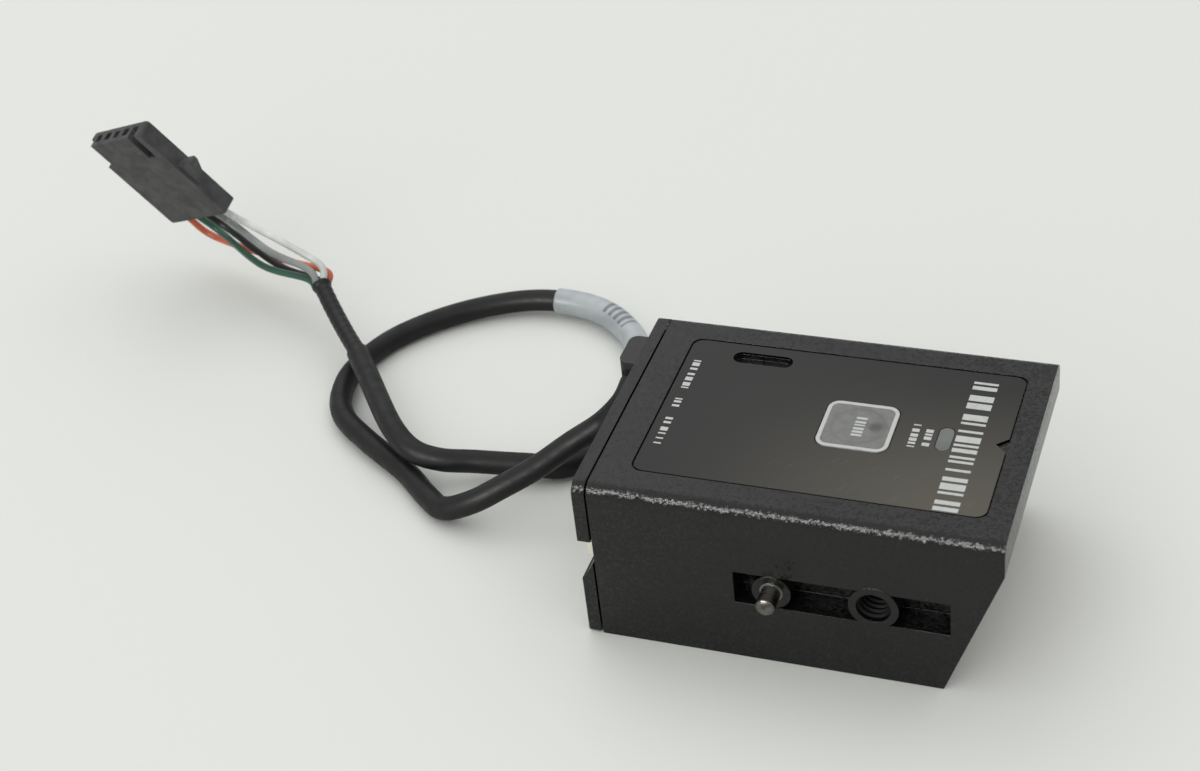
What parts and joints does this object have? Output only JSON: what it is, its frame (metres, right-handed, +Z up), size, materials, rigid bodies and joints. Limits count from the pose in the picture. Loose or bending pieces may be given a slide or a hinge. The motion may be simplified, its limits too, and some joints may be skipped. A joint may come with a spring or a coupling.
{
  "type": "fixed-mount laser scanner module",
  "caption": "Small black box-shaped laser scanner with a sloping window, a top button, a side locating pin and tapped hole, and a pigtail cable with a plug.",
  "frame": {"origin": "centre of the case's flat base", "axes": "+X towards the scan window, +Y towards the cable outlet's side, +Z up through the button"},
  "size_m": [0.1262, 0.0582, 0.0263],
  "materials": {
    "case_paint": "fine textured black paint",
    "label_film": "satin overlay film",
    "button_film": "translucent grey",
    "black_rubber": "matt",
    "window_pane": "dark red tint",
    "clear_lens": "clear",
    "steel": "bright",
    "black_plastic": "fine moulded",
    "cream_plastic": "moulded",
    "plunger_plastic": "moulded",
    "circuit_board": "solder mask",
    "chassis_metal": "die cast",
    "brass_parts": "turned",
    "mirror_face": "polished",
    "magnet": "nickel plated",
    "copper_wire": "enamelled copper",
    "sensor": "dark resin",
    "polyimide": "amber film",
    "marker_sleeve": "pale blue-grey",
    "wire_white": "insulation",
    "wire_green": "insulation",
    "wire_black": "insulation",
    "wire_grey": "insulation",
    "wire_red": "insulation"
  },
  "bodies": {
    "case": {"housing": "case_paint", "rear_cover": "case_paint", "cover_screws": "steel", "front_window": "window_pane", "window_gasket": "black_rubber", "top_label": "label_film", "indicator_lens": "button_film", "status_lamp": "cream_plastic", "switch_body": "black_plastic", "main_board": "circuit_board", "processor_chip": "black_plastic", "memory_chip": "black_plastic", "buzzer": "black_plastic", "board_header": "cream_plastic", "inner_plug": "cream_plastic", "inner_wires": "wire_red", "optical_chassis": "chassis_metal", "chassis_screws": "steel", "board_screws": "steel", "laser_barrel": "brass_parts", "laser_diode": "brass_parts", "collimating_lens": "clear_lens", "pivot_pin": "steel", "pivot_clip": "steel", "coil_bobbin": "cream_plastic", "drive_coil": "copper_wire", "coil_core": "steel", "receiver_lens": "clear_lens", "optical_filter": "window_pane", "photodiode": "sensor", "receiver_board": "circuit_board", "flex_strip": "polyimide", "ground_clip": "steel", "locating_pin": "steel", "strain_relief": "black_rubber", "cable_jacket": "black_rubber", "cable_marker": "marker_sleeve", "shrink_sleeve": "black_rubber", "wire_white": "wire_white", "wire_green": "wire_green", "wire_black": "wire_black", "wire_grey": "wire_grey", "wire_red": "wire_red", "plug_housing": "black_plastic", "plug_contacts": "brass_parts"},
    "button": {"scan_button": "button_film"},
    "plunger": {"switch_plunger": "plunger_plastic"},
    "mirror": {"scan_mirror": "mirror_face", "mirror_carrier": "black_plastic", "rotor_magnet": "magnet"}
  },
  "joints": [
    {"name": "button_press", "type": "slide", "parent": "case", "child": "button", "axis": [0, 0, -1], "range_m": [0, 0.0003]},
    {"name": "plunger_press", "type": "slide", "parent": "case", "child": "plunger", "axis": [0, 0, -1], "range_m": [0, 0.0003]},
    {"name": "mirror_swing", "type": "hinge", "parent": "case", "child": "mirror", "pos_m": [-0.00741, 0.00141, 0.0086], "axis": [0, 0, 1], "range_deg": [-11, 11]}
  ],
  "couplings": [
    {"joint": "plunger_press", "follows": "button_press", "ratio": 1}
  ]
}
